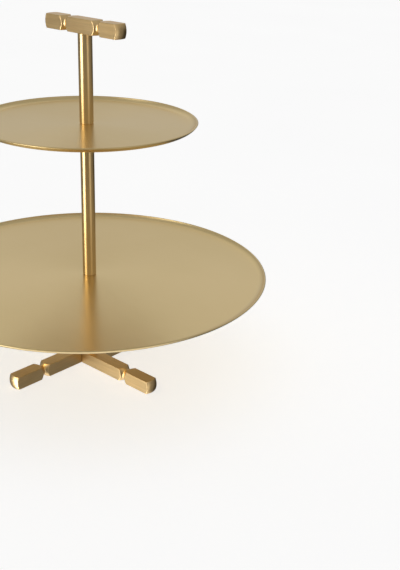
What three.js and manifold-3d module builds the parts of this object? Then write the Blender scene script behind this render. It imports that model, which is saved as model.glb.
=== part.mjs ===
// Two-tier cake stand in solid brass. A pinwheel base of four square bars carries a post,
// a large dish, a tier rod, a small dish, and a handle rod with a bar across its top.
// Millimetres, +Z up. The origin is on the table, under the middle of the rod.

import * as THREE from "three";
import { mergeVertices } from "three/addons/utils/BufferGeometryUtils.js";
import Module from "manifold-3d";

const wasm = await Module();
wasm.setup();

// ---- Driving dimensions -------------------------------------------------------------

// Round dishes, spun from one sheet.
const lowerPlateRadius = 160;
const upperPlateRadius = 95;
const sheet = 1.5;
const lipHeight = 3.5;
const lipWidth = 6.5;

// Rods and the lengths between the pieces they carry.
const rodDiameter = 12;
const lowerPostLength = 73;
const tierRodLength = 136;
const handleRodLength = 74;
const rodChamfer = 0.3;

// Square bars of the base, and of the handle.
const barWidth = 12;
const barEdgeBreak = 0.35;
const armReach = 87.5;
const armGrooveFromEnd = 32.8;
const handleReach = 44;
const handleGrooveFromEnd = 24.5;
const grooveNeckDiameter = 8.8;
const grooveHalfAngle = THREE.MathUtils.degToRad(47);
const grooveBottomRadius = 0.9;
const endDomeRadius = 14;

// Hardware.
const threadDiameter = 6;
const threadEngagement = 12;
const tappedHoleSpare = 2;
const handleStudGrip = 7;
const washerThickness = 0.5;
const screwHeadDiameter = 10;
const screwHeadHeight = 4;
const screwHeadRecess = 1;
const screwGrip = 14;
const hexKey = 4;
const hexKeyDepth = 2;
const screwWasherDiameter = 11.6;
const screwWasherThickness = 1;
const dowelDiameter = 3;
const dowelLength = 12;

// Clearances.
const threadClearance = 0.15;
const throughHoleClearance = 0.2;
const counterboreClearance = 0.4;
const dowelClearance = 0.1;
const dowelEndClearance = 0.4;
const seamGap = 0.3;

// Facets.
const plateFacets = 64;
const rodFacets = 32;
const smallFacets = 16;

// ---- Heights, from the table up -----------------------------------------------------

const baseTop = barWidth;
const lowerPostTop = baseTop + lowerPostLength;
const lowerPlateUnder = lowerPostTop + washerThickness;
const lowerPlateFloor = lowerPlateUnder + sheet;
const tierRodFoot = lowerPlateFloor + washerThickness;
const tierRodTop = tierRodFoot + tierRodLength;
const upperPlateUnder = tierRodTop + washerThickness;
const upperPlateFloor = upperPlateUnder + sheet;
const handleRodFoot = upperPlateFloor + washerThickness;
const handleRodTop = handleRodFoot + handleRodLength;

const rodRadius = rodDiameter / 2;
const threadRadius = threadDiameter / 2;
const tappedRadius = threadRadius + threadClearance;
const throughRadius = threadRadius + throughHoleClearance;
const tappedDepth = threadEngagement + tappedHoleSpare;

// ---- Materials ----------------------------------------------------------------------

const metal = (name, color, roughness) =>
  new THREE.MeshStandardMaterial({ name, color, roughness, metalness: 1 });

const satinBrass = metal("satin_brass", 0xbfa877, 0.38);
const rodBrass = metal("rod_brass", 0xc9a862, 0.2);
const barBrass = metal("bar_brass", 0xc2a068, 0.32);
const steel = metal("steel", 0x9a9a96, 0.35);
const fibre = new THREE.MeshStandardMaterial({
  name: "fibre", color: 0x5b4636, roughness: 0.85, metalness: 0,
});

// ---- Geometry helpers ---------------------------------------------------------------

const point = (radius, height) => new THREE.Vector2(radius, height);

/** A solid turned about Z from [radius, height] points that run anticlockwise. */
function turned(points, facets) {
  return new THREE.LatheGeometry(points, facets).rotateX(Math.PI / 2);
}

/** A plain cylinder on the Z axis between two heights. */
function cylinder(radius, from, to, facets = smallFacets) {
  return new THREE.CylinderGeometry(radius, radius, to - from, facets)
    .rotateX(Math.PI / 2)
    .translate(0, 0, (from + to) / 2);
}

/** Points on an arc about a centre, both ends included. */
function arc(centre, radius, fromAngle, toAngle, steps) {
  return Array.from({ length: steps + 1 }, (_, i) => {
    const angle = THREE.MathUtils.lerp(fromAngle, toAngle, i / steps);
    return point(centre.x + radius * Math.cos(angle), centre.y + radius * Math.sin(angle));
  });
}

/** The manifold solid of a closed geometry. */
function toSolid(geometry) {
  const plain = geometry.index ? geometry.clone() : geometry;
  plain.deleteAttribute("normal");
  plain.deleteAttribute("uv");
  const merged = mergeVertices(plain, 1e-4);
  return new wasm.Manifold(new wasm.Mesh({
    numProp: 3,
    vertProperties: Float32Array.from(merged.attributes.position.array),
    triVerts: Uint32Array.from(merged.index.array),
  }));
}

/** The three.js geometry of a manifold solid. */
function toGeometry(solid) {
  const mesh = solid.getMesh();
  const geometry = new THREE.BufferGeometry();
  geometry.setAttribute("position", new THREE.BufferAttribute(mesh.vertProperties, 3));
  geometry.setIndex(new THREE.BufferAttribute(mesh.triVerts, 1));
  geometry.computeVertexNormals();
  return geometry;
}

/** A geometry less each of the cutters. */
function cut(geometry, ...cutters) {
  const solid = cutters.reduce((rest, cutter) => rest.subtract(toSolid(cutter)), toSolid(geometry));
  return toGeometry(solid);
}

const stand = new THREE.Group();

/** Adds a named sub-part to a group. */
function add(name, geometry, material, parent = stand) {
  const mesh = new THREE.Mesh(geometry, material);
  mesh.name = name;
  parent.add(mesh);
  return mesh;
}

// ---- Square bars with a turned groove and a turned end ------------------------------

/**
 * Outline of the turning on one bar end, [radius, distance along the bar]. It runs from
 * the axis at the dome's tip back past the groove, and stays outside the bar's corners
 * wherever the bar is left square.
 */
function turnedEndOutline(reach, grooveFromEnd, back) {
  const clear = barWidth / Math.SQRT2 + 0.6;
  const domeCentre = point(0, reach - endDomeRadius);
  const domeEdge = Math.acos(clear / endDomeRadius);
  const dome = arc(domeCentre, endDomeRadius, domeEdge, Math.PI / 2, 5);

  // The groove's flanks run tangent into a small round at its neck.
  const grooveAt = reach - grooveFromEnd;
  const neckCentre = point(grooveNeckDiameter / 2 + grooveBottomRadius, grooveAt);
  const sweep = Math.PI / 2 - grooveHalfAngle;
  const neck = arc(neckCentre, grooveBottomRadius, Math.PI + sweep, Math.PI - sweep, 3);
  const flankTop = neck[neck.length - 1];
  const flankReach = (clear - flankTop.x) * Math.tan(grooveHalfAngle);
  const grooveHalfWidth = flankTop.y - grooveAt + flankReach;

  return [
    point(0, back),
    point(clear, back),
    point(clear, grooveAt - grooveHalfWidth),
    ...neck,
    point(clear, grooveAt + grooveHalfWidth),
    ...dome,
  ];
}

/** The square bar along X between two places, on its own centre line. */
function squareBar(from, to) {
  const half = barWidth / 2;
  const flat = half - barEdgeBreak;
  const section = new THREE.Shape([
    point(half, -flat), point(half, flat), point(flat, half), point(-flat, half),
    point(-half, flat), point(-half, -flat), point(-flat, -half), point(flat, -half),
  ]);
  return new THREE.ExtrudeGeometry(section, { depth: to - from, bevelEnabled: false })
    .rotateY(Math.PI / 2)
    .translate(from, 0, 0);
}

/** The turning for the +X end of a bar, as a solid about X. */
function turningAboutX(reach, grooveFromEnd, back) {
  return turned(turnedEndOutline(reach, grooveFromEnd, back), rodFacets).rotateY(Math.PI / 2);
}

// ---- Base ---------------------------------------------------------------------------

const counterboreRadius = Math.max(screwHeadDiameter, screwWasherDiameter) / 2 + counterboreClearance;
const counterboreDepth = screwHeadRecess + screwHeadHeight + screwWasherThickness;

// Each bar's inner end butts on the side of the next, and a dowel crosses the joint
// midway between the counterbore and the bar's far side.
const dowelOffset = (counterboreRadius + barWidth) / 2;
const dowelHoleRadius = dowelDiameter / 2 + dowelClearance;
const dowelHoleDepth = dowelLength / 2 + dowelEndClearance;

function baseArmGeometry() {
  const bar = squareBar(seamGap, armReach + 1);
  const turning = turningAboutX(armReach, armGrooveFromEnd, -1);
  const arm = toSolid(bar)
    .intersect(toSolid(turning))
    .translate(0, -barWidth / 2, barWidth / 2);

  const endHole = cylinder(dowelHoleRadius, -1, dowelHoleDepth)
    .rotateY(Math.PI / 2)
    .translate(0, -dowelOffset, barWidth / 2);
  const sideHole = cylinder(dowelHoleRadius, -1, dowelHoleDepth)
    .rotateX(Math.PI / 2)
    .translate(dowelOffset, 0, barWidth / 2);
  return cut(
    toGeometry(arm),
    cylinder(throughRadius, -1, barWidth + 1),
    cylinder(counterboreRadius, -1, counterboreDepth),
    endHole,
    sideHole,
  );
}

const armGeometry = baseArmGeometry();
const dowelGeometry = cylinder(dowelDiameter / 2, -dowelLength / 2, dowelLength / 2)
  .rotateY(Math.PI / 2)
  .translate(0, -dowelOffset, barWidth / 2);

["right", "front", "left", "back"].forEach((side, quarter) => {
  const corner = new THREE.Group();
  corner.rotation.z = -quarter * Math.PI / 2;
  add(`base_arm_${side}`, armGeometry, barBrass, corner);
  add(`base_dowel_${side}`, dowelGeometry, steel, corner);
  stand.add(corner);
});

// ---- Screw that holds the post to the base ------------------------------------------

const screwHeadTop = screwHeadRecess + screwHeadHeight;
const screwTip = baseTop + screwGrip;

const screwBlank = turned([
  point(0, screwHeadRecess),
  point(screwHeadDiameter / 2 - 0.4, screwHeadRecess),
  point(screwHeadDiameter / 2, screwHeadRecess + 0.4),
  point(screwHeadDiameter / 2, screwHeadTop),
  point(threadRadius, screwHeadTop),
  point(threadRadius, screwTip - 0.6),
  point(threadRadius - 0.6, screwTip),
  point(0, screwTip),
], smallFacets);
const hexSocket = cylinder(hexKey / Math.sqrt(3), screwHeadRecess - 1, screwHeadRecess + hexKeyDepth, 6);
add("base_screw", cut(screwBlank, hexSocket), steel);

/** A flat ring between two heights. */
function ring(innerRadius, outerRadius, from, to, facets) {
  return turned([
    point(innerRadius, from), point(outerRadius, from),
    point(outerRadius, to), point(innerRadius, to), point(innerRadius, from),
  ], facets);
}

add("base_screw_washer",
  ring(throughRadius, screwWasherDiameter / 2, screwHeadTop, screwHeadTop + screwWasherThickness, smallFacets),
  steel);

// ---- Rods and studs -----------------------------------------------------------------

/** A round rod between two heights, with a tapped hole in each end that has a depth. */
function rod(foot, top, footHole, topHole) {
  const outside = [
    point(rodRadius - rodChamfer, foot), point(rodRadius, foot + rodChamfer),
    point(rodRadius, top - rodChamfer), point(rodRadius - rodChamfer, top),
  ];
  return turned([
    point(0, foot + footHole), point(tappedRadius, foot + footHole), point(tappedRadius, foot),
    ...outside,
    point(tappedRadius, top), point(tappedRadius, top - topHole), point(0, top - topHole),
  ], rodFacets);
}

/** A threaded stud between two heights, drawn at its thread's outer diameter. */
function stud(foot, top) {
  const tip = 0.5;
  return turned([
    point(0, foot), point(threadRadius - tip, foot), point(threadRadius, foot + tip),
    point(threadRadius, top - tip), point(threadRadius - tip, top), point(0, top),
  ], smallFacets);
}

const screwHoleDepth = screwGrip + tappedHoleSpare;
add("lower_post", rod(baseTop, lowerPostTop, screwHoleDepth, tappedDepth), rodBrass);
add("lower_stud", stud(lowerPostTop - threadEngagement, tierRodFoot + threadEngagement), steel);
add("tier_rod", rod(tierRodFoot, tierRodTop, tappedDepth, tappedDepth), rodBrass);
add("upper_stud", stud(tierRodTop - threadEngagement, handleRodFoot + threadEngagement), steel);
add("handle_rod", rod(handleRodFoot, handleRodTop, tappedDepth, tappedDepth), rodBrass);
add("handle_stud", stud(handleRodTop - threadEngagement, handleRodTop + handleStudGrip), steel);

// ---- Dishes and their washers -------------------------------------------------------

/**
 * A spun dish: a flat floor that sweeps up through a cove into a low flared lip. The
 * cove is an arc, tangent to the floor, whose chord spans the lip's width and height.
 */
function dish(radius, under) {
  const floor = under + sheet;
  const inside = radius - lipWidth;
  const coveRadius = (lipWidth ** 2 + lipHeight ** 2) / (2 * lipHeight);
  const coveCentre = point(inside, floor + coveRadius);
  const lipAngle = Math.asin(lipWidth / coveRadius);
  const above = arc(coveCentre, coveRadius, -Math.PI / 2, -Math.PI / 2 + lipAngle, 6);

  // The rim is cut square to the sheet, so the underside ends one sheet in from the lip.
  const below = arc(coveCentre, coveRadius + sheet, -Math.PI / 2, -Math.PI / 2 + lipAngle, 6);
  const shift = below[6].x - radius;
  const underside = below.map((p) => point(p.x - shift, p.y));
  const top = above.map((p) => point(p.x - shift, p.y)).reverse();
  return turned([
    point(throughRadius, under), ...underside, ...top,
    point(throughRadius, floor), point(throughRadius, under),
  ], plateFacets);
}

const rodWasher = (from) => ring(throughRadius, rodRadius - rodChamfer, from, from + washerThickness, rodFacets);

add("lower_plate_underwasher", rodWasher(lowerPostTop), fibre);
add("lower_plate", dish(lowerPlateRadius, lowerPlateUnder), satinBrass);
add("lower_plate_washer", rodWasher(lowerPlateFloor), rodBrass);
add("upper_plate_underwasher", rodWasher(tierRodTop), fibre);
add("upper_plate", dish(upperPlateRadius, upperPlateUnder), satinBrass);
add("upper_plate_washer", rodWasher(upperPlateFloor), rodBrass);

// ---- Handle -------------------------------------------------------------------------

function handleBarGeometry() {
  const bar = squareBar(-handleReach - 1, handleReach + 1);
  const oneEnd = toSolid(turningAboutX(handleReach, handleGrooveFromEnd, 0));
  const turning = oneEnd.add(oneEnd.rotate(0, 0, 180));
  const turnedBar = toSolid(bar)
    .intersect(turning)
    .translate(0, 0, handleRodTop + barWidth / 2);
  const studHole = cylinder(tappedRadius, handleRodTop - 1, handleRodTop + handleStudGrip + 0.5);
  return cut(toGeometry(turnedBar), studHole);
}

add("handle_bar", handleBarGeometry(), barBrass);

export default stand;
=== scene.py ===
"""Looks of the two-tier brass cake stand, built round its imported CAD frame. Metres."""

import math

import bmesh
import bpy
import numpy as np
from mathutils import Matrix, Vector


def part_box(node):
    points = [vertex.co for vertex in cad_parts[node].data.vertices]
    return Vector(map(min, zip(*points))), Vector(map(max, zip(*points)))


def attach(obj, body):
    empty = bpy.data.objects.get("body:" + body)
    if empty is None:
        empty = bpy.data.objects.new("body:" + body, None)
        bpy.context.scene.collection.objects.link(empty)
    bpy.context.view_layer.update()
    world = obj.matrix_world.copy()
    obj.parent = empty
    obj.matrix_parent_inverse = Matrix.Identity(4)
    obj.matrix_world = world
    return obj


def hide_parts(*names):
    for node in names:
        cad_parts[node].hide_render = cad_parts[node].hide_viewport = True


MM = 0.001
TURN = 2 * math.pi

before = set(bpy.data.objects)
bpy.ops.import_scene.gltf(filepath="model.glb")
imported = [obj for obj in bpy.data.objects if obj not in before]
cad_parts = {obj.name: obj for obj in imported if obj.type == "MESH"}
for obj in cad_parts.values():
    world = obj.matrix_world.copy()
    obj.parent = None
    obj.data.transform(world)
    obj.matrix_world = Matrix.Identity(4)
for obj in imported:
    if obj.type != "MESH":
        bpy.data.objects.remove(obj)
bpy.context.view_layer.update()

# ---- Sizes that the CAD boxes don't give --------------------------------------------

SHEET = 1.5 * MM
LIP_WIDTH = 6.5 * MM
LIP_HEIGHT = 3.5 * MM
RIM_OUTER_ROUND = 0.12 * MM
RIM_INNER_ROUND = 1.2 * MM

TAPPED_RADIUS = 3.15 * MM
TAPPED_DEPTH = 14 * MM
SCREW_HOLE_DEPTH = 16 * MM
THROUGH_RADIUS = 3.2 * MM
ROD_ROUND = 0.35 * MM
WASHER_ROUND = 0.12 * MM
SCREW_WASHER_ROUND = 0.2 * MM

GROOVE_FROM_END = 32.8 * MM
HANDLE_GROOVE_FROM_END = 24.5 * MM
GROOVE_NECK_RADIUS = 4.4 * MM
GROOVE_HALF_ANGLE = math.radians(42)
GROOVE_BOTTOM_ROUND = 2.3 * MM
DOME_RADIUS = 14 * MM
BAR_CORNER = 0.3 * MM
BAR_BLEND = 0.05 * MM
BAR_CLEAR_RADIUS = 11 * MM
INNER_END_RADIUS = 8.1 * MM
INNER_END_EASE = 0.3 * MM
SEAM_GAP = 0.3 * MM
HANDLE_TAPPED_DEPTH = 7.5 * MM

COUNTERBORE_RADIUS = 6.2 * MM
COUNTERBORE_DEPTH = 6 * MM
THREAD_PITCH = 1.0 * MM
THREAD_DEPTH = 0.55 * MM
THREAD_STEP = 0.09 * MM
CHAMFER_EXTRA = 0.1 * MM
SHANK_RADIUS = 3 * MM
SHANK_OVERLAP = 0.3 * MM
SCREW_HEAD_HEIGHT = 4 * MM
SCREW_HEAD_ROUND = 0.5 * MM
SCREW_FACE_INSET = 1.4 * MM
HEX_KEY = 4 * MM
HEX_DEPTH = 2 * MM
HEX_CHAMFER = 0.15 * MM

# ---- How finely the meshes are made ---------------------------------------------------

ON_AXIS = 1e-7
WELD = 0.002 * MM
SHARP_ANGLE = math.radians(40)
DISH_SEGMENTS = 288
ROD_SEGMENTS = 128
WASHER_SEGMENTS = 96
SCREW_SEGMENTS = 96
BORE_SEGMENTS = 64
THREAD_SEGMENTS = 48


# ---- Mesh helpers -------------------------------------------------------------------

def piece(name, verts, faces, material, body, replaces):
    """A shaded mesh that rides on a body and stands for a CAD node."""
    mesh = bpy.data.meshes.new(name)
    mesh.from_pydata([tuple(v) for v in verts], [], [tuple(f) for f in faces])
    mesh.validate()
    obj = bpy.data.objects.new(name, mesh)
    bpy.context.scene.collection.objects.link(obj)
    mesh.materials.append(material)
    mesh.polygons.foreach_set("use_smooth", [True] * len(mesh.polygons))
    mesh.set_sharp_from_angle(angle=SHARP_ANGLE)
    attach(obj, body)
    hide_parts(replaces)
    return obj


def weld(obj):
    """Joins points that coincide and drops the slivers that a cut leaves."""
    edit = bmesh.new()
    edit.from_mesh(obj.data)
    bmesh.ops.remove_doubles(edit, verts=edit.verts, dist=WELD)
    bmesh.ops.triangulate(edit, faces=[face for face in edit.faces if len(face.verts) > 4])
    bmesh.ops.dissolve_degenerate(edit, dist=WELD, edges=edit.edges)
    edit.to_mesh(obj.data)
    edit.free()


def arc(centre, radius, start, end, steps):
    """Points on an arc about a centre, both ends included."""
    angles = np.linspace(start, end, steps + 1)
    return [(centre[0] + radius * math.cos(a), centre[1] + radius * math.sin(a)) for a in angles]


def rounded(points, radius, steps=4):
    """An open outline with each corner between its ends replaced by a small curve."""
    out = [points[0]]
    for before, corner, after in zip(points, points[1:], points[2:]):
        a, b, c = (np.array(p, float) for p in (before, corner, after))
        to_a, to_c = a - b, c - b
        room = min(np.hypot(*to_a), np.hypot(*to_c)) / 2
        u, v = to_a / np.hypot(*to_a), to_c / np.hypot(*to_c)
        half = math.acos(max(-1.0, min(1.0, float(u @ v)))) / 2
        nearly_straight = half > math.radians(88)
        if nearly_straight:
            out.append(corner)
            continue
        trim = min(radius / math.tan(half), room)
        for t in np.linspace(0, 1, steps + 1):
            p = (1 - t) ** 2 * (b + u * trim) + 2 * t * (1 - t) * b + t ** 2 * (b + v * trim)
            out.append(tuple(p))
    out.append(points[-1])
    return out


def turned(outline, segments):
    """Verts and faces of an outline of (radius, height) turned about Z. Points at radius 0
    close on the axis; an outline that starts and ends off the axis closes on itself."""
    verts, rings = [], []
    for radius, height in outline:
        if radius < ON_AXIS:
            rings.append([len(verts)] * segments)
            verts.append((0, 0, height))
        else:
            rings.append(list(range(len(verts), len(verts) + segments)))
            angles = [TURN * i / segments for i in range(segments)]
            verts += [(radius * math.cos(a), radius * math.sin(a), height) for a in angles]
    pairs = list(zip(rings, rings[1:]))
    if outline[0][0] > ON_AXIS:
        pairs.append((rings[-1], rings[0]))
    faces = []
    for lower, upper in pairs:
        for i in range(segments):
            j = (i + 1) % segments
            quad = [lower[i], lower[j], upper[j], upper[i]]
            faces.append([v for k, v in enumerate(quad) if v != quad[k - 1]])
    return verts, [f for f in faces if len(f) > 2]


# ---- Material helpers ---------------------------------------------------------------

class Shader:
    """A material's node tree, with short ways to add and join nodes."""

    def __init__(self, name):
        self.material = bpy.data.materials.new(name)
        self.material.use_nodes = True
        self.tree = self.material.node_tree
        self.tree.nodes.clear()
        self.surface = self.node("ShaderNodeBsdfPrincipled")
        output = self.node("ShaderNodeOutputMaterial")
        self.link(self.surface.outputs["BSDF"], output.inputs["Surface"])
        self.place = self.node("ShaderNodeTexCoord").outputs["Object"]

    def node(self, kind, **settings):
        made = self.tree.nodes.new(kind)
        for key, value in settings.items():
            setattr(made, key, value)
        return made

    def link(self, source, target):
        self.tree.links.new(source, target)

    def set(self, **values):
        """Uniform values, straight on the surface's own sockets."""
        for key, value in values.items():
            self.surface.inputs[key.replace("_", " ")].default_value = value

    def math(self, operation, a, b=None):
        made = self.node("ShaderNodeMath", operation=operation)
        for socket, value in zip(made.inputs, (a, b)):
            if value is None:
                continue
            if isinstance(value, (int, float)):
                socket.default_value = value
            else:
                self.link(value, socket)
        return made.outputs[0]

    def scaled(self, factors):
        """The object's own coordinates, stretched by a factor on each axis."""
        made = self.node("ShaderNodeVectorMath", operation="MULTIPLY")
        self.link(self.place, made.inputs[0])
        made.inputs[1].default_value = factors
        return made.outputs[0]

    def noise(self, vector, scale, detail=3.0, roughness=0.5):
        made = self.node("ShaderNodeTexNoise")
        self.link(vector, made.inputs["Vector"])
        made.inputs["Scale"].default_value = scale
        made.inputs["Detail"].default_value = detail
        made.inputs["Roughness"].default_value = roughness
        return made.outputs["Fac"]

    def spread(self, value, low, high, to_low, to_high):
        """A value mapped from one range to another, clamped."""
        made = self.node("ShaderNodeMapRange")
        self.link(value, made.inputs["Value"])
        ends = {"From Min": low, "From Max": high, "To Min": to_low, "To Max": to_high}
        for key, number in ends.items():
            made.inputs[key].default_value = number
        return made.outputs[0]

    def blend(self, factor, a, b):
        """One colour turning into another as the factor rises."""
        made = self.node("ShaderNodeMix", data_type="RGBA")
        self.link(factor, made.inputs["Factor"])
        for socket, value in zip((s for s in made.inputs if s.type == "RGBA"), (a, b)):
            if isinstance(value, tuple):
                socket.default_value = (*value, 1)
            else:
                self.link(value, socket)
        return next(s for s in made.outputs if s.type == "RGBA")

    def bump(self, height, distance, normal=None):
        """A surface normal tilted by a height, on top of another bump if one is given."""
        made = self.node("ShaderNodeBump")
        made.inputs["Strength"].default_value = 1.0
        made.inputs["Distance"].default_value = distance
        self.link(height, made.inputs["Height"])
        if normal is not None:
            self.link(normal, made.inputs["Normal"])
        return made.outputs["Normal"]


# Every metal keeps its roughness above about 0.28. Below that, the denoiser takes the metal
# for a mirror, and a roughness that varies across that value comes out mottled.

def plate_brass(name, colour, tarnish, roughness):
    """Spun satin sheet: fine rings about the axis, soft cloudy patches and a few wiping marks."""
    s = Shader(name)
    flat = s.scaled((1, 1, 0))
    away = s.node("ShaderNodeVectorMath", operation="LENGTH")
    s.link(flat, away.inputs[0])
    ring_place = s.node("ShaderNodeCombineXYZ")
    s.link(away.outputs["Value"], ring_place.inputs["X"])
    drift = s.math("MULTIPLY", s.noise(flat, 14, 2), 0.0011)
    s.link(drift, ring_place.inputs["Y"])
    rings = s.noise(ring_place.outputs[0], 1700, 2)
    broad_rings = s.noise(ring_place.outputs[0], 260, 2)
    clouds = s.noise(s.place, 9, 2)
    marks = s.noise(s.scaled((1, 3.2, 1)), 46, 2)

    tone = s.blend(s.spread(clouds, 0.36, 0.66, 0, 1), colour, tarnish)
    s.link(tone, s.surface.inputs["Base Color"])

    wiping = s.spread(marks, 0.35, 0.7, -0.008, 0.012)
    spinning = s.spread(broad_rings, 0.3, 0.7, -0.004, 0.004)
    varied = s.math("ADD", wiping, spinning)
    s.link(s.math("ADD", varied, roughness), s.surface.inputs["Roughness"])
    s.link(s.bump(rings, 0.001 * MM), s.surface.inputs["Normal"])

    tangent = s.node("ShaderNodeTangent", direction_type="RADIAL", axis="Z")
    s.link(tangent.outputs[0], s.surface.inputs["Tangent"])
    s.set(Metallic=1.0, Anisotropic=0.6, Anisotropic_Rotation=0.25)
    return s.material


def bar_brass(name, colour, tarnish, roughness, along):
    """Bar stock brushed along its length, with darker tarnish and small scratches."""
    s = Shader(name)
    stretch = [1.0, 1.0, 1.0]
    stretch[along] = 0.035
    grain = s.noise(s.scaled(tuple(stretch)), 2600, 1)
    coarse = s.noise(s.scaled(tuple(stretch)), 620, 1)
    clouds = s.noise(s.place, 45, 3)

    tone = s.blend(s.spread(clouds, 0.35, 0.68, 0, 1), colour, tarnish)
    streaks = s.spread(s.math("ADD", grain, coarse), 0.75, 1.25, 0.94, 1.04)
    shade = s.node("ShaderNodeVectorMath", operation="SCALE")
    s.link(tone, shade.inputs[0])
    s.link(streaks, shade.inputs["Scale"])
    s.link(shade.outputs[0], s.surface.inputs["Base Color"])

    brushing = s.spread(coarse, 0.3, 0.7, -0.015, 0.025)
    dulling = s.spread(clouds, 0.3, 0.7, -0.01, 0.02)
    varied = s.math("ADD", brushing, dulling)
    s.link(s.math("ADD", varied, roughness), s.surface.inputs["Roughness"])
    s.link(s.bump(s.math("ADD", grain, coarse), 0.0012 * MM), s.surface.inputs["Normal"])
    s.set(Metallic=1.0, Anisotropic=0.35)
    tangent = s.node("ShaderNodeTangent", direction_type="UV_MAP", uv_map="around")
    s.link(tangent.outputs[0], s.surface.inputs["Tangent"])
    return s.material


def rod_brass(name, colour, tarnish, roughness):
    """Polished rod with the faint rings of its turning and a little tarnish."""
    s = Shader(name)
    rings = s.noise(s.scaled((0.02, 0.02, 1)), 2300, 3, 0.6)
    clouds = s.noise(s.scaled((1, 1, 0.5)), 38, 4, 0.6)
    scratches = s.noise(s.scaled((1, 1, 0.06)), 1500, 3, 0.7)

    tone = s.blend(s.spread(clouds, 0.4, 0.7, 0, 1), colour, tarnish)
    s.link(tone, s.surface.inputs["Base Color"])
    scratching = s.spread(scratches, 0.45, 0.75, 0, 0.05)
    dulling = s.spread(clouds, 0.3, 0.7, -0.02, 0.03)
    varied = s.math("ADD", scratching, dulling)
    s.link(s.math("ADD", varied, roughness), s.surface.inputs["Roughness"])
    lines = s.bump(rings, 0.002 * MM)
    s.link(s.bump(scratches, 0.002 * MM, normal=lines), s.surface.inputs["Normal"])
    tangent = s.node("ShaderNodeTangent", direction_type="RADIAL", axis="Z")
    s.link(tangent.outputs[0], s.surface.inputs["Tangent"])
    s.set(Metallic=1.0, Anisotropic=0.95, Anisotropic_Rotation=0.25)
    return s.material


def plain_steel(name):
    """Machined steel with light turning marks."""
    s = Shader(name)
    marks = s.noise(s.scaled((0.05, 0.05, 1)), 3000, 3, 0.6)
    clouds = s.noise(s.place, 240, 3)
    tone = s.blend(s.spread(clouds, 0.35, 0.65, 0, 1), (0.42, 0.42, 0.41), (0.32, 0.31, 0.29))
    s.link(tone, s.surface.inputs["Base Color"])
    s.link(s.spread(marks, 0.3, 0.7, 0.3, 0.42), s.surface.inputs["Roughness"])
    s.link(s.bump(marks, 0.004 * MM), s.surface.inputs["Normal"])
    s.set(Metallic=1.0)
    return s.material


def brown_fibre(name):
    """Pressed fibre washer."""
    s = Shader(name)
    grain = s.noise(s.scaled((1, 1, 4)), 1800, 4, 0.7)
    tone = s.blend(s.spread(grain, 0.35, 0.65, 0, 1), (0.16, 0.085, 0.045), (0.07, 0.038, 0.022))
    s.link(tone, s.surface.inputs["Base Color"])
    s.link(s.bump(grain, 0.02 * MM), s.surface.inputs["Normal"])
    s.set(Roughness=0.85)
    return s.material


PLATE = plate_brass("satin brass", (0.88, 0.68, 0.345), (0.855, 0.66, 0.325), 0.30)
ROD = rod_brass("rod brass", (0.87, 0.64, 0.315), (0.84, 0.60, 0.28), 0.32)
BAR_X = bar_brass("bar brass along x", (0.89, 0.63, 0.305), (0.86, 0.585, 0.265), 0.31, 0)
BAR_Y = bar_brass("bar brass along y", (0.89, 0.63, 0.305), (0.86, 0.585, 0.265), 0.31, 1)
STEEL = plain_steel("machined steel")
FIBRE = brown_fibre("fibre")


# ---- Dishes -------------------------------------------------------------------------

def dish(node, body):
    """A spun dish: flat floor, coved lip, and a rim whose inner edge is eased."""
    low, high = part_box(node)
    radius, under = high[0], low[2]
    floor = under + SHEET
    cove = (LIP_WIDTH ** 2 + LIP_HEIGHT ** 2) / (2 * LIP_HEIGHT)
    steep = math.asin(LIP_WIDTH / cove)
    outer_reach = (cove + SHEET) * math.sin(steep)
    centre = (radius - outer_reach, floor + cove)
    start = -math.pi / 2
    below = arc(centre, cove + SHEET, start, start + steep, 24)
    above = arc(centre, cove, start + steep, start, 24)
    brow = rounded([below[-2], below[-1], above[0]], RIM_OUTER_ROUND, 3)[1:-1]
    crest = rounded([brow[-1], above[0], above[5]], RIM_INNER_ROUND, 8)[1:-1]
    rings = np.linspace(THROUGH_RADIUS, centre[0], 14)[1:-1]
    outline = (
        [(THROUGH_RADIUS, under)] + [(r, under) for r in rings] + below[:-1] + brow + crest
        + above[5:] + [(r, floor) for r in rings[::-1]] + [(THROUGH_RADIUS, floor)]
    )
    verts, faces = turned(outline, DISH_SEGMENTS)
    return piece(f"{node}_spun", verts, faces, PLATE, body, node)


dish("lower_plate", "base")
dish("upper_plate", "tier")


# ---- Rods, washers, studs and the base screw ----------------------------------------

def rod(node, body, foot_hole, top_hole):
    """A round rod with eased ends and a tapped hole in each."""
    low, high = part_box(node)
    radius, foot, top = high[0], low[2], high[2]
    outline = rounded([
        (0, foot + foot_hole), (TAPPED_RADIUS, foot + foot_hole), (TAPPED_RADIUS, foot),
        (radius, foot), (radius, top),
        (TAPPED_RADIUS, top), (TAPPED_RADIUS, top - top_hole), (0, top - top_hole),
    ], ROD_ROUND)
    verts, faces = turned(outline, ROD_SEGMENTS)
    return piece(f"{node}_turned", verts, faces, ROD, body, node)


rod("lower_post", "base", SCREW_HOLE_DEPTH, TAPPED_DEPTH)
rod("tier_rod", "tier", TAPPED_DEPTH, TAPPED_DEPTH)
rod("handle_rod", "handle", TAPPED_DEPTH, TAPPED_DEPTH)


def washer(node, body, material, ease=WASHER_ROUND):
    """A flat ring with eased edges."""
    low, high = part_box(node)
    outer, foot, top = high[0], low[2], high[2]
    middle = (foot + top) / 2
    outline = rounded([
        (THROUGH_RADIUS, middle), (THROUGH_RADIUS, foot), (outer, foot),
        (outer, top), (THROUGH_RADIUS, top), (THROUGH_RADIUS, middle + ease / 10),
    ], ease, 3)
    verts, faces = turned(outline, WASHER_SEGMENTS)
    return piece(f"{node}_ring", verts, faces, material, body, node)


washer("lower_plate_underwasher", "base", FIBRE)
washer("lower_plate_washer", "lower_washer", ROD)
washer("upper_plate_underwasher", "tier", FIBRE)
washer("upper_plate_washer", "upper_washer", ROD)
washer("base_screw_washer", "base", STEEL, SCREW_WASHER_ROUND)


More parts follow.
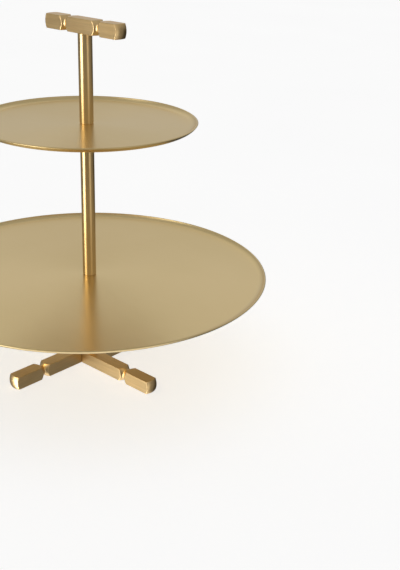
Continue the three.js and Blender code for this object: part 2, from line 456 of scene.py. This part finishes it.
def thread_radius(crest, height, angle):
    """Radius of a right-hand thread with a flat crest at a height and an angle."""
    turn = (height / THREAD_PITCH - angle / TURN) % 1
    ramp = abs(turn - 0.5) * 2
    return crest - THREAD_DEPTH * min(1, max(0, 1.25 * ramp - 0.15))


def threaded(crest, foot, top):
    """Verts and faces of a threaded shank with a chamfer at both ends."""
    segments = THREAD_SEGMENTS
    heights = np.linspace(foot, top, round((top - foot) / THREAD_STEP))
    chamfer = THREAD_DEPTH + CHAMFER_EXTRA
    verts = [(0, 0, foot)]
    for z in heights:
        near_end = min(z - foot, top - z)
        cap = crest - max(0, chamfer - near_end)
        for i in range(segments):
            angle = TURN * i / segments
            r = min(thread_radius(crest, z, angle), cap)
            verts.append((r * math.cos(angle), r * math.sin(angle), z))
    verts.append((0, 0, top))
    faces = []
    for row in range(len(heights) - 1):
        for i in range(segments):
            j = (i + 1) % segments
            a, b = 1 + row * segments, 1 + (row + 1) * segments
            faces.append((a + i, a + j, b + j, b + i))
    last = 1 + (len(heights) - 1) * segments
    tip = len(verts) - 1
    for i in range(segments):
        j = (i + 1) % segments
        faces.append((0, 1 + j, 1 + i))
        faces.append((tip, last + i, last + j))
    return verts, faces


def stud(node, body):
    """A stud that is threaded from end to end."""
    low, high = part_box(node)
    verts, faces = threaded(high[0], low[2], high[2])
    return piece(f"{node}_threaded", verts, faces, STEEL, body, node)


stud("lower_stud", "base")
stud("upper_stud", "tier")
stud("handle_stud", "handle")


def base_screw():
    """Socket screw, head down: eased head with a hexagon socket, and a threaded shank."""
    low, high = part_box("base_screw")
    head_radius, foot, tip = high[0], low[2], high[2]
    head_top = foot + SCREW_HEAD_HEIGHT
    segments = SCREW_SEGMENTS
    hex_radius = HEX_KEY / math.sqrt(3)

    def hex_at(angle):
        """Distance from the axis to the hexagon's wall at an angle."""
        sector = (angle + math.pi / 6) % (math.pi / 3) - math.pi / 6
        return hex_radius * math.cos(math.pi / 6) / math.cos(sector)

    angles = [TURN * i / segments for i in range(segments)]
    rings = [
        [(0.0, foot + HEX_DEPTH)] * segments,
        [(hex_at(a), foot + HEX_DEPTH) for a in angles],
        [(hex_at(a), foot + HEX_CHAMFER) for a in angles],
        [(hex_at(a) + HEX_CHAMFER, foot) for a in angles],
    ]
    side = rounded([
        (head_radius - SCREW_FACE_INSET, foot), (head_radius, foot),
        (head_radius, head_top), (SHANK_RADIUS, head_top),
    ], SCREW_HEAD_ROUND)
    rings += [[p] * segments for p in side + [(0.0, head_top)]]
    verts, faces = [], []
    for ring in rings:
        verts += [(r * math.cos(a), r * math.sin(a), z) for (r, z), a in zip(ring, angles)]
    for row in range(len(rings) - 1):
        for i in range(segments):
            j = (i + 1) % segments
            a, b = row * segments, (row + 1) * segments
            faces.append((a + i, a + j, b + j, b + i))
    shank_verts, shank_faces = threaded(SHANK_RADIUS, head_top - SHANK_OVERLAP, tip)
    offset = len(verts)
    verts += shank_verts
    faces += [tuple(offset + v for v in f) for f in shank_faces]
    screw = piece("base_screw_socketed", verts, faces, STEEL, "base", "base_screw")
    weld(screw)
    return screw


base_screw()


# ---- Square bars with a turned groove and a turned end ------------------------------

def end_stations(reach, groove_from_end, back):
    """Outline of the turning at a bar's end as (distance along, radius of the turning)
    stations, from the plain bar at the back to the tip of the dome."""
    clear = BAR_CLEAR_RADIUS
    groove = reach - groove_from_end
    neck = (groove, GROOVE_NECK_RADIUS + GROOVE_BOTTOM_ROUND)
    sweep = math.pi / 2 - GROOVE_HALF_ANGLE
    bottom = arc(neck, GROOVE_BOTTOM_ROUND, -math.pi / 2 - sweep, -math.pi / 2 + sweep, 8)
    flank = np.linspace(0, 1, 25)[1:]
    slope = math.tan(GROOVE_HALF_ANGLE)
    run = (clear - bottom[0][1]) * slope
    before = [(bottom[0][0] - run * t, bottom[0][1] + run * t / slope) for t in flank[::-1]]
    after = [(bottom[-1][0] + run * t, bottom[-1][1] + run * t / slope) for t in flank]
    plain = [(s, clear) for s in np.linspace(back, before[0][0], 8)[:-1]]
    centre = (reach - DOME_RADIUS, 0)
    widest = math.asin(clear / DOME_RADIUS)
    dome = arc(centre, DOME_RADIUS, widest, 0, 40)
    block = [(s, clear) for s in np.linspace(after[-1][0], dome[0][0], 8)[1:-1]]
    return plain + before + bottom + after + block + dome


def square_radius(angle, half, corner):
    """Distance from the axis to a rounded square's outline at an angle."""
    folded = (angle + math.pi / 4) % (math.pi / 2) - math.pi / 4
    flat = half - corner
    c, s = math.cos(folded), abs(math.sin(folded))
    straight = half / c
    if straight * s <= flat:
        return straight
    # Meets the corner's arc: |t(c, s) - (flat, flat)| = corner.
    b = flat * (c + s)
    return b + math.sqrt(max(0.0, b * b - 2 * flat * flat + corner * corner))


def section_angles(half, corner):
    """Angles round a rounded square, closest together at its corners."""
    flat = half - corner
    on_side = [math.atan2(y, half) for y in np.linspace(-flat, flat, 26)]
    on_corner = [
        math.atan2(flat + corner * math.sin(t), flat + corner * math.cos(t))
        for t in np.linspace(0, math.pi / 2, 9)[1:-1]
    ]
    quarter = on_side + on_corner
    return [a + q * math.pi / 2 for q in range(4) for a in quarter]


def soft_min(a, b, blend):
    """The lesser of two radii, with their meeting eased over a small length."""
    h = max(0.0, min(1.0, 0.5 + (b - a) / (2 * blend)))
    return b * (1 - h) + a * h - blend * h * (1 - h)


def bar_mesh(stations, half):
    """Verts, faces and around-the-bar coordinates of a bar swept along X through stations
    of (distance along, radius of the turning). A station of radius 0 closes the end."""
    angles = section_angles(half, BAR_CORNER)
    square = [square_radius(a, half, BAR_CORNER) for a in angles]
    count = len(angles)
    verts, rings, wraps = [], [], []
    for along, turning in stations:
        if turning < 1e-6:
            rings.append([len(verts)] * count)
            verts.append((along, 0, 0))
            wraps.append((0.5, along))
            continue
        rings.append(list(range(len(verts), len(verts) + count)))
        for k, (a, r) in enumerate(zip(angles, square)):
            eased = soft_min(r, turning, BAR_BLEND)
            verts.append((along, eased * math.cos(a), eased * math.sin(a)))
            wraps.append((k / count, along))
    faces = []
    for lower, upper in zip(rings, rings[1:]):
        for i in range(count):
            j = (i + 1) % count
            quad = [lower[i], lower[j], upper[j], upper[i]]
            faces.append([v for k, v in enumerate(quad) if v != quad[k - 1]])
    if stations[0][1] > 1e-6:
        faces.append(rings[0][::-1])
    return verts, [f for f in faces if len(f) > 2], wraps


def wrap_coordinates(obj, wraps):
    """A UV map whose first axis runs round the bar, for the direction of its brushing."""
    layer = obj.data.uv_layers.new(name="around")
    for loop in obj.data.loops:
        layer.data[loop.index].uv = wraps[loop.vertex_index]


def bore(obj, radius, low, high):
    """Cuts a round hole through a piece, along the stand's own axis."""
    outline = [(0, low), (radius, low), (radius, high), (0, high)]
    verts, faces = turned(outline, BORE_SEGMENTS)
    mesh = bpy.data.meshes.new("bore")
    mesh.from_pydata(verts, [], faces)
    mesh.polygons.foreach_set("use_smooth", [True] * len(mesh.polygons))
    tool = bpy.data.objects.new("bore", mesh)
    bpy.context.scene.collection.objects.link(tool)
    cut = obj.modifiers.new("bore", "BOOLEAN")
    cut.operation = "DIFFERENCE"
    cut.solver = "EXACT"
    cut.object = tool
    evaluated = obj.evaluated_get(bpy.context.evaluated_depsgraph_get())
    cut_mesh = bpy.data.meshes.new_from_object(evaluated)
    obj.modifiers.remove(cut)
    old = obj.data
    obj.data = cut_mesh
    bpy.data.meshes.remove(old)
    bpy.data.objects.remove(tool)
    weld(obj)
    obj.data.set_sharp_from_angle(angle=SHARP_ANGLE)


def base_arm(side, quarter):
    """One bar of the pinwheel, with its quarter of the screw's hole and counterbore."""
    node = f"base_arm_{side}"
    low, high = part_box(node)
    reach = max(abs(v) for v in (low[0], low[1], high[0], high[1]))
    width = high[2] - low[2]
    half = width / 2
    stations = end_stations(reach, GROOVE_FROM_END, SEAM_GAP)
    inner_end = (SEAM_GAP, INNER_END_RADIUS)
    stations[0:1] = [inner_end, (SEAM_GAP + INNER_END_EASE, BAR_CLEAR_RADIUS)]
    verts, faces, wraps = bar_mesh(stations, half)
    turn = Matrix.Rotation(-quarter * math.pi / 2, 3, "Z")
    placed = [turn @ Vector((x, y - half, z + half)) for x, y, z in verts]
    material = BAR_X if quarter % 2 == 0 else BAR_Y
    arm = piece(f"{node}_bar", placed, faces, material, "base", node)
    wrap_coordinates(arm, wraps)
    bore(arm, THROUGH_RADIUS, -MM, width + MM)
    bore(arm, COUNTERBORE_RADIUS, -MM, COUNTERBORE_DEPTH)
    return arm


for quarter, side in enumerate(("right", "front", "left", "back")):
    base_arm(side, quarter)
    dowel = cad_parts[f"base_dowel_{side}"]
    dowel.data.materials.clear()
    dowel.data.materials.append(STEEL)


def handle_bar():
    """The bar across the top, with the same turned end on both sides."""
    low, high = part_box("handle_bar")
    reach, half = high[0], (high[2] - low[2]) / 2
    right = end_stations(reach, HANDLE_GROOVE_FROM_END, 0.0)
    stations = [(-s, r) for s, r in right[:0:-1]] + right
    verts, faces, wraps = bar_mesh(stations, half)
    middle = (low[2] + high[2]) / 2
    placed = [(x, y, z + middle) for x, y, z in verts]
    bar = piece("handle_bar_turned", placed, faces, BAR_X, "handle", "handle_bar")
    wrap_coordinates(bar, wraps)
    bore(bar, TAPPED_RADIUS, low[2] - MM, low[2] + HANDLE_TAPPED_DEPTH)


handle_bar()


# ---- Floor, light and camera --------------------------------------------------------

FLOOR_REACH = 12.0
FLOOR_DROP = 0.1 * MM
FLOOR_PALE, FLOOR_PALER = (0.48, 0.48, 0.48), (0.50, 0.50, 0.50)
FLOOR_GLOW = 0.707


def stage_floor():
    """A pale floor, just under the bars, that metal doesn't mirror."""
    s = Shader("pale floor")
    mottle = s.noise(s.place, 3, 3)
    tone = s.blend(s.spread(mottle, 0.3, 0.7, 0, 1), FLOOR_PALER, FLOOR_PALE)
    s.link(tone, s.surface.inputs["Base Color"])
    s.set(Roughness=0.9, Specular_IOR_Level=0.0)
    s.set(Emission_Color=(1, 1, 1, 1), Emission_Strength=FLOOR_GLOW)
    signs = ((-1, -1), (1, -1), (1, 1), (-1, 1))
    corners = [(x * FLOOR_REACH, y * FLOOR_REACH, -FLOOR_DROP) for x, y in signs]
    mesh = bpy.data.meshes.new("floor")
    mesh.from_pydata(corners, [], [(0, 1, 2, 3)])
    mesh.materials.append(s.material)
    floor = bpy.data.objects.new("floor", mesh)
    bpy.context.scene.collection.objects.link(floor)
    floor.visible_glossy = False
    floor.visible_shadow = False


CAMERA_AZIMUTH = math.radians(48.34)
CAMERA_AWAY = 0.7799
CAMERA_HEIGHT = 0.4139
CAMERA_PITCH = math.radians(23.427)
CAMERA_TURN = math.radians(7.42)
CAMERA_ROLL = math.radians(1.85)
CAMERA_LENS_MM = 58.295
CAMERA_SENSOR_MM = 36


def stage_camera():
    """The photograph's viewpoint: a little above the plates, turned off the rod."""
    camera = bpy.data.cameras.new("camera")
    camera.sensor_width = CAMERA_SENSOR_MM
    camera.lens = CAMERA_LENS_MM
    camera.clip_start = 0.01
    camera.clip_end = 30
    obj = bpy.data.objects.new("camera", camera)
    bpy.context.scene.collection.objects.link(obj)
    heading = CAMERA_AZIMUTH - CAMERA_TURN
    level = Vector((-math.sin(heading), math.cos(heading), 0))
    ahead = level * math.cos(CAMERA_PITCH) - Vector((0, 0, math.sin(CAMERA_PITCH)))
    right = level.cross(Vector((0, 0, 1)))
    up = right.cross(ahead)
    c, s = math.cos(CAMERA_ROLL), math.sin(CAMERA_ROLL)
    rolled_right = c * right + s * up
    rolled_up = c * up - s * right
    side, back = math.sin(CAMERA_AZIMUTH), -math.cos(CAMERA_AZIMUTH)
    place = Vector((side * CAMERA_AWAY, back * CAMERA_AWAY, CAMERA_HEIGHT))
    turn = Matrix((rolled_right, rolled_up, -ahead)).transposed().to_4x4()
    obj.matrix_world = Matrix.Translation(place) @ turn
    bpy.context.scene.camera = obj


class Studio(Shader):
    """The world's node tree: plain soft light that varies with direction only."""

    def __init__(self, name):
        self.world = bpy.data.worlds.new(name)
        self.world.use_nodes = True
        self.tree = self.world.node_tree
        self.tree.nodes.clear()
        self.surface = self.node("ShaderNodeBackground")
        output = self.node("ShaderNodeOutputWorld")
        self.link(self.surface.outputs[0], output.inputs["Surface"])
        self.place = self.node("ShaderNodeTexCoord").outputs["Generated"]

    def lobe(self, centre, inner, outer, strength, direction=None):
        """Light from round a direction, full within one angle and fading out by another."""
        dot = self.node("ShaderNodeVectorMath", operation="DOT_PRODUCT")
        self.link(direction or self.place, dot.inputs[0])
        dot.inputs[1].default_value = centre
        made = self.node("ShaderNodeMapRange", interpolation_type="SMOOTHSTEP")
        self.link(dot.outputs["Value"], made.inputs["Value"])
        made.inputs["From Min"].default_value = math.cos(math.radians(outer))
        made.inputs["From Max"].default_value = math.cos(math.radians(inner))
        made.inputs["To Max"].default_value = strength
        return made.outputs[0]

    def band(self, low, high, strength, soft=12):
        """Light all round from between two elevations, fading in over some degrees."""
        split = self.node("ShaderNodeSeparateXYZ")
        self.link(self.place, split.inputs[0])
        z = split.outputs["Z"]
        edges = (low, low + soft, high - soft, high)
        foot, full, fading, top = (math.sin(math.radians(e)) for e in edges)
        rise = self.spread(z, foot, full, 0, strength)
        fall = self.spread(z, fading, top, 1, 0)
        return self.math("MULTIPLY", rise, fall)

    def strip(self, azimuth, inner, outer, low, high, strength):
        """A patch of light about an azimuth and between two elevations."""
        level = self.node("ShaderNodeVectorMath", operation="NORMALIZE")
        self.link(self.scaled((1, 1, 0)), level.inputs[0])
        across = self.lobe(view_direction(azimuth, 0), inner, outer, 1, level.outputs[0])
        return self.math("MULTIPLY", across, self.band(low, high, strength))


def view_direction(azimuth, elevation):
    """A unit vector at an azimuth to the right of the camera's own side of the stand."""
    turn, rise = math.radians(azimuth) + CAMERA_AZIMUTH, math.radians(elevation)
    return Vector((math.sin(turn) * math.cos(rise), -math.cos(turn) * math.cos(rise), math.sin(rise)))


WALL = 0.96
FILL_POWER = 1.6
FILL_ANGLE = math.radians(110)
AMBIENT = 0.19

# Each lobe: (azimuth, elevation), degrees within which it is full, degrees where it ends,
# strength. They are the light from above, from behind the stand, and from below.
LOBES = (
    ((0, 90), 62, 86, 0.20),
    ((180, 20), 10, 44, 0.25),
    ((0, -90), 15, 42, 0.9),
)

# Each strip: azimuth, half width where it is full, half width where it ends, lowest and
# highest elevation, strength. They are the key and a weak second light, each in a part below
# the horizon, which upright surfaces mirror, and a dimmer one above, which the dishes mirror.
STRIPS = (
    (-64, 6, 24, -66, 8, 4.9),
    (-66, 4, 21, -4, 60, 2.2),
    (40, 3, 20, -66, 8, 0.7),
    (40, 1, 15, -4, 60, 0.3),
)

# A strip too, whose strength is the share of the light that it takes away.
SHADE = (126, 20, 36, -66, 8, 0.85)


def stage_light():
    """Soft light all round, a key on the left, and an overhead fill for the floor. The camera
    itself sees an even pale wall instead of these lights."""
    studio = Studio("studio")
    lit = AMBIENT
    for centre, inner, outer, strength in LOBES:
        lobe = studio.lobe(view_direction(*centre), inner, outer, strength)
        lit = studio.math("ADD", lit, lobe)
    for strip in STRIPS:
        lit = studio.math("ADD", lit, studio.strip(*strip))
    kept = studio.math("SUBTRACT", 1.0, studio.strip(*SHADE))
    lit = studio.math("MULTIPLY", lit, kept)
    seen = studio.node("ShaderNodeLightPath").outputs["Is Camera Ray"]
    level = studio.node("ShaderNodeMix", data_type="FLOAT")
    factor, unseen, wall = level.inputs[0], level.inputs[2], level.inputs[3]
    studio.link(seen, factor)
    studio.link(lit, unseen)
    wall.default_value = WALL
    studio.surface.inputs["Color"].default_value = (1, 1, 1, 1)
    studio.link(level.outputs[0], studio.surface.inputs["Strength"])
    studio.world.cycles_visibility.diffuse = False
    bpy.context.scene.world = studio.world

    fill = bpy.data.lights.new("fill", "SUN")
    fill.energy = FILL_POWER
    fill.angle = FILL_ANGLE
    overhead = bpy.data.objects.new("fill", fill)
    overhead.visible_glossy = False
    bpy.context.scene.collection.objects.link(overhead)
    bpy.context.scene.view_settings.view_transform = "Standard"


stage_floor()
stage_camera()
stage_light()
